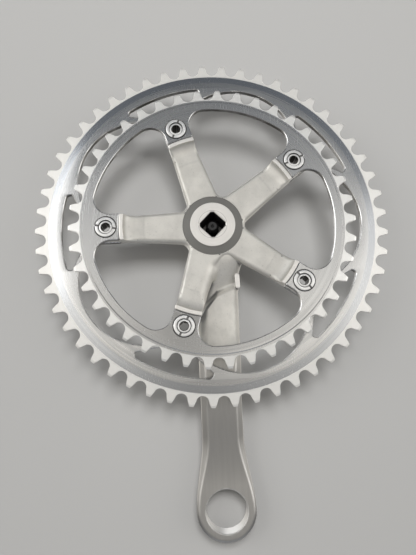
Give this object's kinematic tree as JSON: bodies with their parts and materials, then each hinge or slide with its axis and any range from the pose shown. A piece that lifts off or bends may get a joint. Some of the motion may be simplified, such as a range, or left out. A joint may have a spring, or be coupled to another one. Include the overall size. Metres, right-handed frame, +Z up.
{
  "type": "bicycle crankset",
  "caption": "Right-hand road bicycle crank: forged arm and spider, large and small chainrings on sleeve bolts, square spindle socket, wide pedal eye and a captive crank bolt.",
  "frame": {"origin": "on the crank axis, at the centre of the spindle socket's mouth in the hub's inner boss face", "axes": "+Y along the crank axis, away from the bicycle; +Z up, with the crank arm hanging along -Z; +X towards the rear of the bicycle"},
  "size_m": [0.2199, 0.0323, 0.2976],
  "materials": {
    "forged_aluminium": "satin forged, machined hub boss",
    "outer_ring_aluminium": "turned and anodised silver",
    "inner_ring_aluminium": "turned and anodised silver",
    "nut_chrome": "bright chrome plating",
    "bolt_chrome": "bright chrome plating",
    "dark_steel": "dark oiled steel",
    "washer_steel": "dull steel",
    "cap_chrome": "satin chrome",
    "nylon": "matt black nylon"
  },
  "bodies": {
    "crank": {"crank_arm": "forged_aluminium", "outer_chainring_53t": "outer_ring_aluminium", "inner_chainring_42t": "inner_ring_aluminium", "chainring_bolt_1": "bolt_chrome", "chainring_bolt_2": "bolt_chrome", "chainring_bolt_3": "bolt_chrome", "chainring_bolt_4": "bolt_chrome", "chainring_bolt_5": "bolt_chrome", "chainring_nut_1": "nut_chrome", "chainring_nut_2": "nut_chrome", "chainring_nut_3": "nut_chrome", "chainring_nut_4": "nut_chrome", "chainring_nut_5": "nut_chrome", "friction_washer": "nylon", "release_cap": "cap_chrome"},
    "bolt_washer": {"crank_bolt_washer": "washer_steel"},
    "captive_bolt": {"crank_bolt": "dark_steel"}
  },
  "joints": [
    {"name": "bolt_float", "type": "slide", "parent": "crank", "child": "bolt_washer", "axis": [0, 1, 0], "range_m": [0, 0.0008]},
    {"name": "bolt_turn", "type": "hinge", "parent": "bolt_washer", "child": "captive_bolt", "pos_m": [0, 0.012, 0], "axis": [0, 1, 0], "continuous": true}
  ]
}
